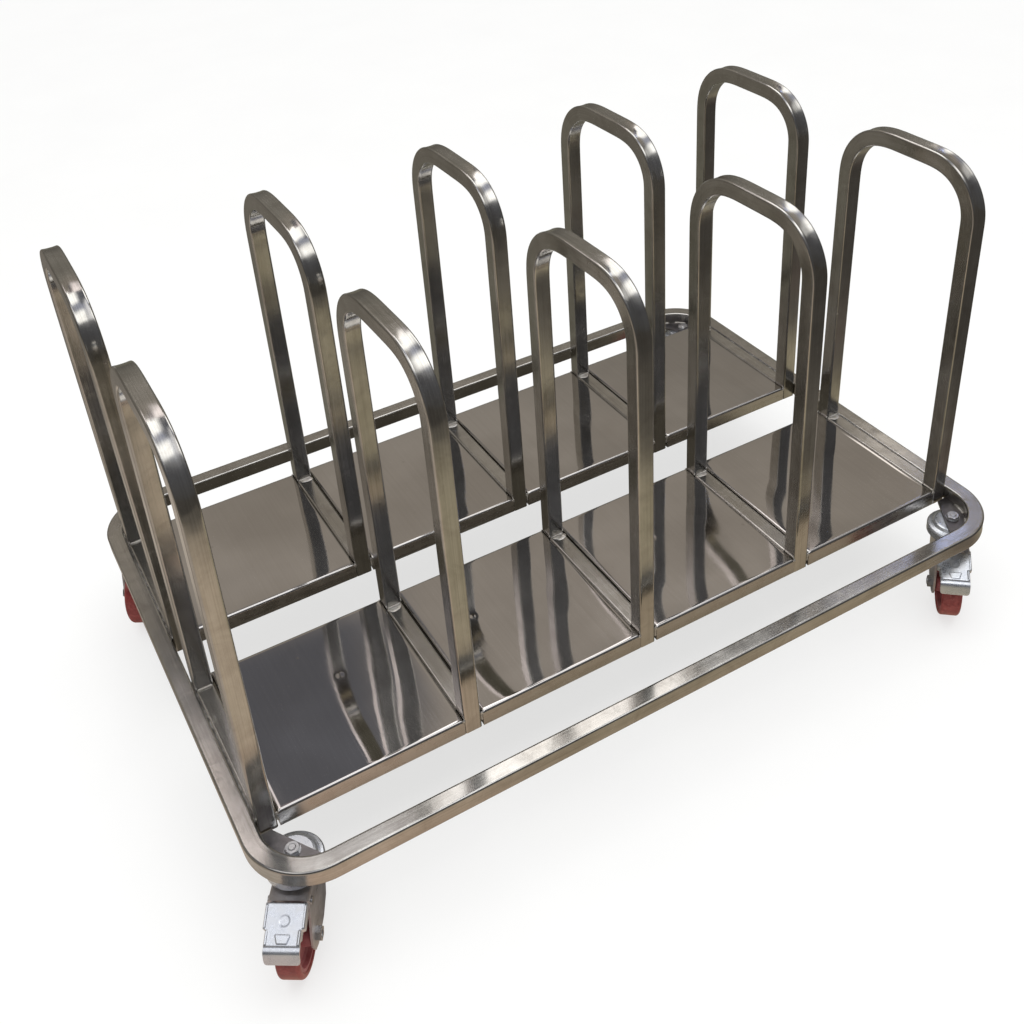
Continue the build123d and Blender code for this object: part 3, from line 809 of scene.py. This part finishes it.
def puddle(centre, rx, ry, rz, seed):
    """A flat run of weld metal lying on a face: an uneven closed dome with laid-over ripples."""
    rng = random.Random(seed)
    rings, sides = 9, 28
    lump = [rng.uniform(-1, 1) for _ in range(7)]
    ph = rng.uniform(0, 6.28)
    centre = np.array(centre, float)
    pts, faces = [centre + np.array([0, 0, rz])], []
    for i in range(1, rings + 1):
        q = math.pi / 2 * i / rings
        for j in range(sides):
            w = 2 * math.pi * j / sides
            edge = 1 + 0.10 * sum(lump[n] * math.sin((n + 2) * w + n) for n in range(4))
            r = math.sin(q) * edge
            x, y = rx * r * math.cos(w), ry * r * math.sin(w)
            h = rz * math.cos(q) * (1 + 0.16 * math.sin(2 * math.pi * math.hypot(x - 0.7 * rx, 1.5 * y) / 2.4 + ph) + 0.12 * lump[5] * math.sin(x) + 0.1 * lump[6] * math.cos(1.3 * y))
            pts.append(centre + np.array([x, y, h]))
    base = len(pts)
    for j in range(sides):
        w = 2 * math.pi * j / sides
        pts.append(centre + np.array([0.8 * rx * math.cos(w), 0.8 * ry * math.sin(w), -1.5]))
    for j in range(sides):
        l = (j + 1) % sides
        faces.append([0, 1 + j, 1 + l])
        for i in range(rings - 1):
            faces.append([1 + i * sides + j, 1 + (i + 1) * sides + j, 1 + (i + 1) * sides + l, 1 + i * sides + l])
        o = 1 + (rings - 1) * sides
        faces.append([o + j, base + j, base + l, o + l])
    faces.append([base + j for j in reversed(range(sides))])
    return np.array(pts), faces, np.zeros((sum(len(t) for t in faces), 2))


rng = random.Random(71)
feet, tacks, seams, corner_welds = [], [], [], []
k = 0
for row, (y0, y1) in ROW_Y.items():
    for i, x in enumerate(HOOP_X):
        for y, inward in ((y0, 1), (y1, -1)):
            k += 1
            yi = y + inward * TUBE
            # leg to crossbar, across the top of the bar
            feet.append(bead([(x - 10.8, yi + inward * 0.3, TOP_Z + 0.1), (x + 10.8, yi + inward * 0.3, TOP_Z + 0.1)], 1.75 if inward > 0 else 2.3, 1000 + k))
            # a wider run of weld metal at the foot that faces forward
            if inward < 0 and i > 0:
                wide = 5.2 + 3.2 * rng.random()
                feet.append(puddle((x + rng.uniform(-2.5, 2.5), yi - 0.55 * wide, TOP_Z - 0.5), 8.6 + 2.4 * rng.random(), wide, 1.7, 1500 + k))
            # leg to tray lip
            for sgn in (-1, 1):
                if (sgn < 0 and i == 0) or (sgn > 0 and i == 4):
                    continue
                gap = TRAY_GAP * 0.5 if sgn > 0 else 0.2
                tacks.append(tack((x + sgn * (HALF + gap), y + inward * 0.6, TOP_Z - 2.0 - rng.uniform(0, 2)), 2.3 + 0.5 * rng.random(), 2000 + 2 * k + sgn,
                                  (1.0, 0.55, 1.25)))
            # a short upright run where the tray's fold meets the leg
            if i < 4:
                gx = x + HALF + TRAY_GAP * 0.5
                feet.append(bead([(gx, y + inward * 1.8, TOP_Z - 1.5), (gx, y + inward * 1.8, TOP_Z - 15.0 - 6.0 * rng.random())], 1.55, 1700 + k, up=(1, 0, 0)))
    # end bars to the side rails: one run along the joint, dressed nearly flush
    for sgn in (-1, 1):
        x = sgn * (LENGTH / 2 - TUBE)
        # its dark metal is painted shade of the groove along this joint
        seams.append(bead([(x, y0 + 3, TOP_Z - 1.7), (x, y1 - 3, TOP_Z - 1.7)], 2.5, 3000 + 10 * k + sgn, height=0.46, pitch=3.4, taper=6.0))

# corner plates to the ring, along the inside of the tube
for n, (name, (sx, sy, _)) in enumerate(CASTERS.items()):
    inner = BEND_R - TUBE
    cx, cy = sx * (LENGTH / 2 - BEND_R), sy * (WIDTH / 2 - BEND_R)
    for j, (q0, q1) in enumerate(((4, 26), (36, 56), (66, 86))):
        line = []
        for t in np.linspace(q0, q1, 12):
            q = math.radians(t)
            line.append((cx + sx * (inner - 0.6) * math.cos(q), cy + sy * (inner - 0.6) * math.sin(q), BOT_Z + GUSSET_T + 0.3))
        corner_welds.append(bead(line, 1.8, 4000 + 10 * n + j))

for name, parts, metal in (("weld_beads_feet", feet, WELD), ("weld_tacks_trays", tacks, WELD), ("weld_runs_rails", seams, DRESSED),
                           ("weld_beads_corner_plates", corner_welds, WELD)):
    p, f, uv = joined(parts)
    piece(name, metres(p), f, metal, "frame", uv, weighted=False)


# ---- brake pedals: pressed plate with raised edges, a turned-down lip, arms and shoe --------------
P0, P1 = np.array([50.0, 117.5]), np.array([96.0, 99.5])
P_LONG = float(np.linalg.norm(P1 - P0))
P_ALONG = (P1 - P0) / P_LONG
P_UP = np.array([-P_ALONG[1], P_ALONG[0]])


def on_pedal(s, down):
    """Point s along the pedal plate and so far below its top, as (x, z) from the stem."""
    return P0 + P_ALONG * s - P_UP * down


def prism(outline, y0, y1, ease=0.5):
    """A flat piece cut to an outline in (x, z), between two planes of y, with eased edges."""
    o = np.array(outline, float)
    if np.sum(o[:, 0] * np.roll(o[:, 1], -1) - np.roll(o[:, 0], -1) * o[:, 1]) < 0:
        o = o[::-1]
    e0, e1 = o - np.roll(o, 1, 0), np.roll(o, -1, 0) - o
    e0, e1 = e0 / np.linalg.norm(e0, axis=1)[:, None], e1 / np.linalg.norm(e1, axis=1)[:, None]
    n0, n1 = np.stack([-e0[:, 1], e0[:, 0]], 1), np.stack([-e1[:, 1], e1[:, 0]], 1)
    inn = o + ease * (n0 + n1) / np.maximum(1 + np.sum(n0 * n1, 1), 0.5)[:, None]
    n = len(o)
    pts = [(x, y, z) for ring, y in ((inn, y0), (o, y0 + ease), (o, y1 - ease), (inn, y1)) for x, z in ring]
    faces = [list(range(n)), list(reversed(range(3 * n, 4 * n)))]
    for r in range(3):
        for j in range(n):
            l = (j + 1) % n
            faces.append([r * n + j, (r + 1) * n + j, (r + 1) * n + l, r * n + l])
    return np.array(pts), faces, np.zeros((sum(len(t) for t in faces), 2))


def pedal_plate():
    """The pressed plate: full width at the top, stepped in lower down, with raised edges, a plain round dimple and a raised pad."""
    step, ease = 0.57 * P_LONG, 1.3
    end = P_LONG - 2.0
    rows = np.concatenate([[0.0, 0.25, 0.7], np.arange(1.4, end - 1.0, 0.75), [end - 0.7, end - 0.25, end]])
    pts, count = [], None
    for s in rows:
        hw = 25.0 - 3.4 * float(smooth01((s - step) / 1.6))
        depth = 2.5 + 7.0 * float(smooth01((s - 5.0) / 4.0) * smooth01((end - 5.0 - s) / 4.0))
        edge = min(1.0, 0.35 + 0.65 * math.sqrt(min(1.0, min(s, end - s) / 1.2)))     # rounded over at both ends
        y = np.linspace(-1, 1, 65) * (hw - ease)
        up = 0.85 * smooth01((np.abs(y) - (hw - 3.6)) / 0.7) * float(smooth01((s - 1.5) / 1.0) * smooth01((end - 1.5 - s) / 1.0))
        up = up * (1.0 - float(np.exp(-((s - step - 0.6) / 1.0) ** 2)))
        ring = np.hypot(s - 0.40 * P_LONG, y)
        up = up - 0.5 * (1 - smooth01((ring - 4.5) / 3.2))
        low = s - 0.80 * P_LONG
        up = up + 0.65 * float(smooth01((5.2 - abs(low)) / 0.8)) * smooth01((8.0 - 0.35 * low - np.abs(y)) / 0.8)
        top = (edge - 1.0) * ease + up
        loop = [(-hw, -depth), (-hw, -(depth + ease) / 2), (-hw, -ease)]
        loop += [(-hw + ease * (1 - math.cos(q)), -ease + ease * math.sin(q) + (edge - 1.0) * ease * math.sin(q)) for q in (0.4, 0.8, 1.2)]
        loop += list(zip(y, top))
        loop += [(hw - ease * (1 - math.cos(q)), -ease + ease * math.sin(q) + (edge - 1.0) * ease * math.sin(q)) for q in (1.2, 0.8, 0.4)]
        loop += [(hw, -ease), (hw, -(depth + ease) / 2), (hw, -depth)]
        loop += [(hw - 2.2, -depth), (hw - 2.2, -(depth + 2.4) / 2), (hw - 2.3, -2.4), (0.0, -2.4), (-hw + 2.3, -2.4),
                 (-hw + 2.2, -(depth + 2.4) / 2), (-hw + 2.2, -depth)]
        count = len(loop)
        for yy, h in loop:
            x, z = on_pedal(s, -h)
            pts.append((x, yy, z))
    n = len(rows)
    faces = [list(range(count)), list(reversed(range((n - 1) * count, n * count)))]
    for i in range(n - 1):
        for j in range(count):
            l = (j + 1) % count
            faces.append([i * count + j, (i + 1) * count + j, (i + 1) * count + l, i * count + l])
    pts = np.array(pts)
    middle = pts.mean(0)
    t = faces[2 + (n // 2) * count + 38]
    if np.dot(np.cross(pts[t[1]] - pts[t[0]], pts[t[2]] - pts[t[1]]), np.array([P_UP[0], 0, P_UP[1]])) < 0:
        faces = [list(reversed(t)) for t in faces]
    return pts, faces, np.zeros((sum(len(t) for t in faces), 2))


def pedal_lip():
    """The toe lip: a strip that leaves the plate's end and turns down, with rounded lower corners."""
    mid = np.array([(90.5, 98.2), (94.0, 96.9), (97.0, 95.7), (98.4, 94.6), (99.2, 93.0), (99.9, 89.5), (100.7, 86.0), (101.4, 82.5), (101.9, 80.2),
                    (102.2, 78.6)])
    half = [21.8, 21.8, 21.8, 21.8, 21.8, 21.8, 21.8, 21.5, 20.6, 18.6]
    t = np.gradient(mid, axis=0)
    t /= np.linalg.norm(t, axis=1)[:, None]
    out = np.stack([-t[:, 1], t[:, 0]], 1)
    thick = 1.15
    pts = []
    shape = [(-1.0, -0.45), (-0.985, -0.95), (-0.94, -1.0), (0.94, -1.0), (0.985, -0.95), (1.0, -0.45),
             (1.0, 0.45), (0.985, 0.95), (0.94, 1.0), (0.3, 1.0), (-0.3, 1.0), (-0.94, 1.0), (-0.985, 0.95), (-1.0, 0.45)]
    for i in range(len(mid)):
        k = 0.55 if i in (0, len(mid) - 1) else 1.0
        for a, b in shape:
            x, z = mid[i] + out[i] * b * thick * k
            pts.append((x, a * half[i], z))
    n, m = len(mid), len(shape)
    faces = [list(range(m)), list(reversed(range((n - 1) * m, n * m)))]
    for i in range(n - 1):
        for j in range(m):
            l = (j + 1) % m
            faces.append([i * m + j, (i + 1) * m + j, (i + 1) * m + l, i * m + l])
    pts = np.array(pts)
    t = faces[2 + 6 * m + 9]
    if np.cross(pts[t[1]] - pts[t[0]], pts[t[2]] - pts[t[1]])[0] < 0:
        faces = [list(reversed(t)) for t in faces]
    return pts, faces, np.zeros((sum(len(t) for t in faces), 2))


def pedal(corner, sx, sy, turn):
    parts = [pedal_plate(), pedal_lip()]
    boss = [(38.0 + 5.5 * math.cos(q), 105.0 + 5.5 * math.sin(q)) for q in np.radians(np.linspace(90, 270, 13))]
    for s in (-1, 1):
        ya, yb = sorted((s * 17.5, s * 21.4))
        parts.append(prism(boss + [(62.0, 99.0), on_pedal(24, 1.2), on_pedal(1.5, 1.2), (48.5, 110.0)], ya, yb))
    parts.append(prism([on_pedal(11, 1.2), on_pedal(16, 1.2), (64.0, 103.2), (59.8, 103.2)], -12.0, 12.0, 0.6))
    p, f, uv = joined(parts)
    q = math.radians(turn)
    x, y = sx * (LENGTH / 2 - KING_X), sy * (WIDTH / 2 - KING_Y)
    p = np.stack([x + p[:, 0] * math.cos(q) - p[:, 1] * math.sin(q), y + p[:, 0] * math.sin(q) + p[:, 1] * math.cos(q), p[:, 2]], 1)
    piece(f"{corner}_brake_pedal_pressing", metres(p), f, ZINC, f"{corner}_brake", uv, [f"{corner}_brake_pedal"], sharp=40, weighted=False)


for corner in BRAKED:
    pedal(corner, *CASTERS[corner])


# ---- carried-over nodes get their finish -----------------------------------------------------
def finish_node(name, material):
    o = nodes[name]
    o.data.materials.clear()
    o.data.materials.append(material)


for corner in CASTERS:
    finish_node(f"{corner}_gusset", PLATE_STEEL)
    finish_node(f"{corner}_swivel_cap", ZINC)
    finish_node(f"{corner}_ball_race", FASTENER)
    finish_node(f"{corner}_fork", DULL_ZINC)
    finish_node(f"{corner}_axle_and_pins" if corner in BRAKED else f"{corner}_axle_bolt", FASTENER)
    finish_node(f"{corner}_wheel_bushing", FASTENER)
    finish_node(f"{corner}_wheel_core", CORE)
    finish_node(f"{corner}_wheel_tyre", TYRE)
finish_node("kingpin_bolts", FASTENER)


# ---- stage: pale floor, studio light ----------------------------------------------------------
def floor_plane(name, size, z, material, centre=(0, 0)):
    me = bpy.data.meshes.new(name)
    h = size / 2
    cx, cy = centre
    me.from_pydata([(cx - h, cy - h, z), (cx + h, cy - h, z), (cx + h, cy + h, z), (cx - h, cy + h, z)], [], [(0, 1, 2, 3)])
    me.materials.append(material)
    o = bpy.data.objects.new(name, me)
    scene.collection.objects.link(o)
    return o


m = Mat("pale_floor", Specular_IOR_Level=0.0, Emission_Color=(1.0, 1.0, 0.995, 1.0), Emission_Strength=0.70)
grain = m.noise(m.obj(), 3.0, 4.0, 0.6)
fl = m.set(Base_Color=m.ramp(grain, [(0.3, (0.245, 0.245, 0.243)), (0.7, (0.26, 0.26, 0.257))]),
           Roughness=m.span(grain, 0.3, 0.7, 0.7, 0.8))
floor = floor_plane("floor", 60.0, 0.0, fl)
floor.visible_glossy = False


def seen_in_steel_only(o, mat):
    """A glowing card that shows only as a reflection and lights nothing else."""
    o.visible_camera = o.visible_diffuse = o.visible_transmission = o.visible_shadow = o.visible_volume_scatter = False
    mat.cycles.emission_sampling = "NONE"


# What the polished steel mirrors below it: a warm card, lighter round the trolley's front left.
m = Mat("reflection_card")
m.t.nodes.remove(m.b)
sep = m.node("ShaderNodeSeparateXYZ", {"Vector": m.obj()})
cx, cy = sep.outputs["X"], sep.outputs["Y"]
near = m.math("MULTIPLY", m.span(m.math("SUBTRACT", cx, cy), 0.98, 1.28, 1.0, 0.0, True), m.span(cy, -1.22, -0.92, 0.0, 1.0, True))
behind = m.span(cy, -0.25, 0.45, 0.0, 1.0, True)
lit = m.mix(m.span(cx, -0.45, -0.05, 0.0, 1.0, True), (0.60, 0.49, 0.37), (0.405, 0.353, 0.25))
lit = m.mix(behind, lit, (0.18, 0.168, 0.135))
# brighter along the left side, going off towards the back
side = m.mix(m.span(cy, 0.50, 1.15, 0.0, 1.0, True), (0.53, 0.46, 0.39), (0.19, 0.17, 0.145))
lit = m.mix(m.span(cx, -0.625, -0.595, 1.0, 0.0, True), lit, side)
# and darker half-way along it
dip = m.math("MULTIPLY", m.span(cy, -0.28, 0.06, 0.0, 1.0, True), m.span(cy, 0.20, 0.40, 1.0, 0.0, True))
dip = m.math("MULTIPLY", dip, m.span(cx, -0.585, -0.56, 0.55, 0.0, True))
lit = m.mix(dip, lit, (0.10, 0.09, 0.075))
far = m.mix(m.span(m.math("SUBTRACT", cx, cy), 1.3, 1.9, 0.0, 1.0, True), (0.14, 0.125, 0.105), (0.075, 0.068, 0.060))
lit = m.mix(near, far, lit)
# a redder tone close in front of it
close = m.math("MULTIPLY", m.span(cy, -0.60, -0.49, 0.0, 1.0, True), m.span(cy, -0.41, -0.37, 1.0, 0.0, True))
lit = m.mix(close, lit, (1.05, 0.97, 0.985), "MULTIPLY")
# the trolley's own shadow
shade = m.math("MULTIPLY", m.math("MULTIPLY", m.span(cx, -0.60, -0.54, 0.0, 1.0, True), m.span(cx, 0.54, 0.61, 1.0, 0.0, True)),
               m.math("MULTIPLY", m.span(cy, -0.42, -0.33, 0.0, 1.0, True), m.span(cy, 0.36, 0.45, 1.0, 0.0, True)))
lit = m.mix(shade, lit, (0.075, 0.066, 0.052))
glow = m.node("ShaderNodeEmission", {"Color": lit, "Strength": 1.0})
m.t.links.new(glow.outputs[0], m.t.nodes["Material Output"].inputs["Surface"])
card = floor_plane("reflection_card", 60.0, 0.0004, m.m)
seen_in_steel_only(card, m.m)


def soft_panel(name, x0, x1, y0, y1, fade, colour, z=2.6, skew=(0.0, 0.0, 0.0)):
    """A ceiling panel with faded edges; x, y from the ring middle, metres; colour is its radiance.
    fade: how wide the edge is at x0, x1, y0, y1.
    skew: from which x on, and how fast, its y0 and y1 edges swing towards +y."""
    m = Mat(name)
    m.t.nodes.remove(m.b)
    sep = m.node("ShaderNodeSeparateXYZ", {"Vector": m.obj()})
    past = m.math("MAXIMUM", m.math("SUBTRACT", sep.outputs["X"], skew[0]), 0.0) if skew[1] or skew[2] else None
    mask = None
    for axis, edges in (("X", ((x0, fade[0], 1, 0.0), (x1, fade[1], -1, 0.0))), ("Y", ((y0, fade[2], 1, skew[1]), (y1, fade[3], -1, skew[2])))):
        off = SHIFT[0 if axis == "X" else 1] / 1000
        for edge, width, sgn, rate in edges:
            at = sep.outputs[axis]
            if rate:
                at = m.math("SUBTRACT", at, m.math("MULTIPLY", past, rate))
            ramp = m.span(at, edge + off - sgn * width / 2, edge + off + sgn * width / 2, 0.0, 1.0, True)
            mask = ramp if mask is None else m.math("MULTIPLY", mask, ramp)
    glow = m.node("ShaderNodeEmission", {"Color": (*colour, 1.0), "Strength": 1.0})
    clear = m.node("ShaderNodeBsdfTransparent")
    both = m.node("ShaderNodeMixShader", {"Fac": mask})
    m.t.links.new(clear.outputs[0], both.inputs[1])
    m.t.links.new(glow.outputs[0], both.inputs[2])
    m.t.links.new(both.outputs[0], m.t.nodes["Material Output"].inputs["Surface"])
    xa, xb, ya, yb = x0 - fade[0] / 2, x1 + fade[1] / 2, y0 - fade[2] / 2, y1 + fade[3] / 2
    yb += max(0.0, xb - skew[0]) * skew[2]
    me = bpy.data.meshes.new(name)
    ox, oy = SHIFT[0] / 1000, SHIFT[1] / 1000
    me.from_pydata([(xa + ox, ya + oy, z), (xa + ox, yb + oy, z), (xb + ox, yb + oy, z), (xb + ox, ya + oy, z)], [], [(0, 1, 2, 3)])
    me.materials.append(m.m)
    o = bpy.data.objects.new(name, me)
    scene.collection.objects.link(o)
    seen_in_steel_only(o, m.m)


soft_panel("softbox_back", -0.42, 2.80, 0.29, 1.45, (0.50, 0.8, 0.34, 0.36), (2.1, 2.08, 2.05), 2.6, (1.1, 0.60, 0.04))
soft_panel("softbox_front", -0.75, 1.25, -1.27, -0.34, (0.25, 1.0, 0.36, 0.42), (2.1, 2.08, 2.05), 2.604)
soft_panel("panel_front_right", 1.2, 3.5, -1.27, -0.34, (0.8, 0.6, 0.36, 0.42), (0.78, 0.77, 0.76), 2.612)
soft_panel("strip_back_1", 0.28, 0.80, 1.28, 1.62, (0.05, 0.05, 0.08, 0.10), (2.6, 2.5, 2.46), 2.59)
soft_panel("strip_back_2", 0.81, 1.40, 1.28, 1.62, (0.05, 0.14, 0.08, 0.10), (2.5, 2.36, 2.32), 2.592)
soft_panel("panel_back_left", -0.62, 0.29, 1.28, 1.62, (0.2, 0.04, 0.10, 0.10), (0.36, 0.30, 0.315), 2.594)
soft_panel("panel_back_mid", 1.42, 2.12, 1.19, 1.67, (0.1, 0.12, 0.10, 0.10), (0.085, 0.085, 0.105), 2.596)
soft_panel("panel_back_lilac", 2.12, 2.66, 1.22, 1.66, (0.12, 0.06, 0.10, 0.10), (0.26, 0.25, 0.36), 2.597)
soft_panel("strip_blue", 2.66, 2.81, 1.29, 1.52, (0.04, 0.04, 0.06, 0.06), (1.9, 2.5, 4.8), 2.59)
soft_panel("panel_left", -2.2, -0.98, -1.25, 0.35, (0.3, 0.2, 0.3, 0.4), (1.28, 1.27, 1.30), 2.608)
soft_panel("panel_left_back", -1.15, -0.245, 1.66, 2.25, (0.2, 0.11, 0.08, 0.25), (1.18, 1.08, 1.07), 2.589)
soft_panel("panel_corner", -1.10, -0.29, 1.22, 1.70, (0.20, 0.10, 0.14, 0.08), (1.75, 1.58, 1.55), 2.584)
soft_panel("panel_right_bars", 3.01, 3.40, 1.90, 2.27, (0.04, 0.2, 0.14, 0.14), (1.8, 1.67, 1.56), 2.588)
soft_panel("panel_left_far", -0.80, -0.50, 1.40, 2.12, (0.10, 0.14, 0.14, 0.2), (1.72, 1.54, 1.53), 2.586)
soft_panel("panel_right", 2.84, 3.7, 1.26, 1.64, (0.06, 0.5, 0.1, 0.1), (0.37, 0.35, 0.40), 2.594)

# even overhead light for the floor and the tyres; the steel doesn't mirror it
key = bpy.data.lights.new("key", "AREA")
key.shape = "RECTANGLE"
key.size, key.size_y = 3.0, 2.4
key.energy = 38.0
ko = bpy.data.objects.new("key", key)
ko.location = (-0.2, -0.5, 2.9)
ko.visible_glossy = False
scene.collection.objects.link(ko)
sun = bpy.data.lights.new("overhead", "SUN")
sun.energy = 1.9
sun.angle = math.radians(75)
so = bpy.data.objects.new("overhead", sun)
so.rotation_euler = (math.radians(-12), math.radians(8), 0)
so.location = (0, 0, 4)
so.visible_glossy = False
scene.collection.objects.link(so)

world = bpy.data.worlds.new("studio")
scene.world = world
world.use_nodes = True
t = world.node_tree
t.nodes.clear()


class World(Mat):
    def __init__(self, tree):
        self.t = tree


wd = World(t)
gen = wd.node("ShaderNodeTexCoord").outputs["Generated"]
sep = wd.node("ShaderNodeSeparateXYZ", {"Vector": gen})
zz = sep.outputs["Z"]
top = (0.47, 0.49, 0.60)
back = wd.ramp(wd.span(zz, -0.2, 1.0, 0.0, 1.0),
               [(0.0, (0.06, 0.052, 0.042)), (0.17, (0.13, 0.12, 0.105)), (0.55, (0.27, 0.25, 0.218)), (0.68, (0.36, 0.32, 0.275)),
                (0.80, (0.42, 0.375, 0.33)), (0.93, top)])
front = wd.ramp(wd.span(zz, -0.2, 1.0, 0.0, 1.0),
                [(0.0, (0.06, 0.052, 0.042)), (0.17, (0.085, 0.082, 0.080)), (0.6, (0.10, 0.10, 0.108)), (0.72, (0.13, 0.13, 0.14)),
                 (0.82, (0.28, 0.28, 0.29)), (0.96, top)])
env = wd.mix(wd.span(sep.outputs["Y"], -0.25, 0.25, 0.0, 1.0, True), front, back)
# a darker quarter at the back left, high up
az = wd.math("ARCTAN2", sep.outputs["Y"], sep.outputs["X"])
dark = wd.math("MULTIPLY", wd.span(az, math.radians(68), math.radians(75), 0.0, 1.0, True),
               wd.span(zz, 0.64, 0.70, 0.0, 1.0, True))
env = wd.mix(wd.math("MULTIPLY", dark, 0.92), env, (0.118, 0.122, 0.142))
path = wd.node("ShaderNodeLightPath")
plain = wd.mix(path.outputs["Is Camera Ray"], (0.46, 0.46, 0.46), (0.88, 0.88, 0.875))
env = wd.mix(path.outputs["Is Glossy Ray"], plain, env)
bg = wd.node("ShaderNodeBackground", {"Color": env, "Strength": 1.0})
wo = wd.node("ShaderNodeOutputWorld")
t.links.new(bg.outputs["Background"], wo.inputs["Surface"])

scene.view_settings.view_transform = "Standard"
scene.view_settings.look = "None"
scene.view_settings.exposure = 0.0
scene.view_settings.gamma = 1.0

# ---- camera at the photograph's place -----------------------------------------------------------
F_PX, CX, CY = 1227.738, 527.066, 310.358
YAW, PITCH, ROLL = 1.07793, 0.52459, -0.06596
d = Vector((math.cos(PITCH) * math.cos(YAW), math.cos(PITCH) * math.sin(YAW), -math.sin(PITCH)))
r = d.cross(Vector((0, 0, 1))).normalized()
u = r.cross(d)
right = r * math.cos(ROLL) + u * math.sin(ROLL)
up = -r * math.sin(ROLL) + u * math.cos(ROLL)
cam = bpy.data.cameras.new("camera")
cam.sensor_fit = "HORIZONTAL"
cam.sensor_width = 36.0
cam.lens = F_PX * 36.0 / 1024.0
cam.shift_x = (512.0 - CX) / 1024.0
cam.shift_y = (CY - 512.0) / 1024.0
cam.clip_start, cam.clip_end = 0.05, 100.0
co = bpy.data.objects.new("camera", cam)
rot = Matrix((right, up, -d)).transposed().to_4x4()
co.matrix_world = Matrix.Translation((-0.705996, -1.332505, 1.423773)) @ rot
scene.collection.objects.link(co)
scene.camera = co
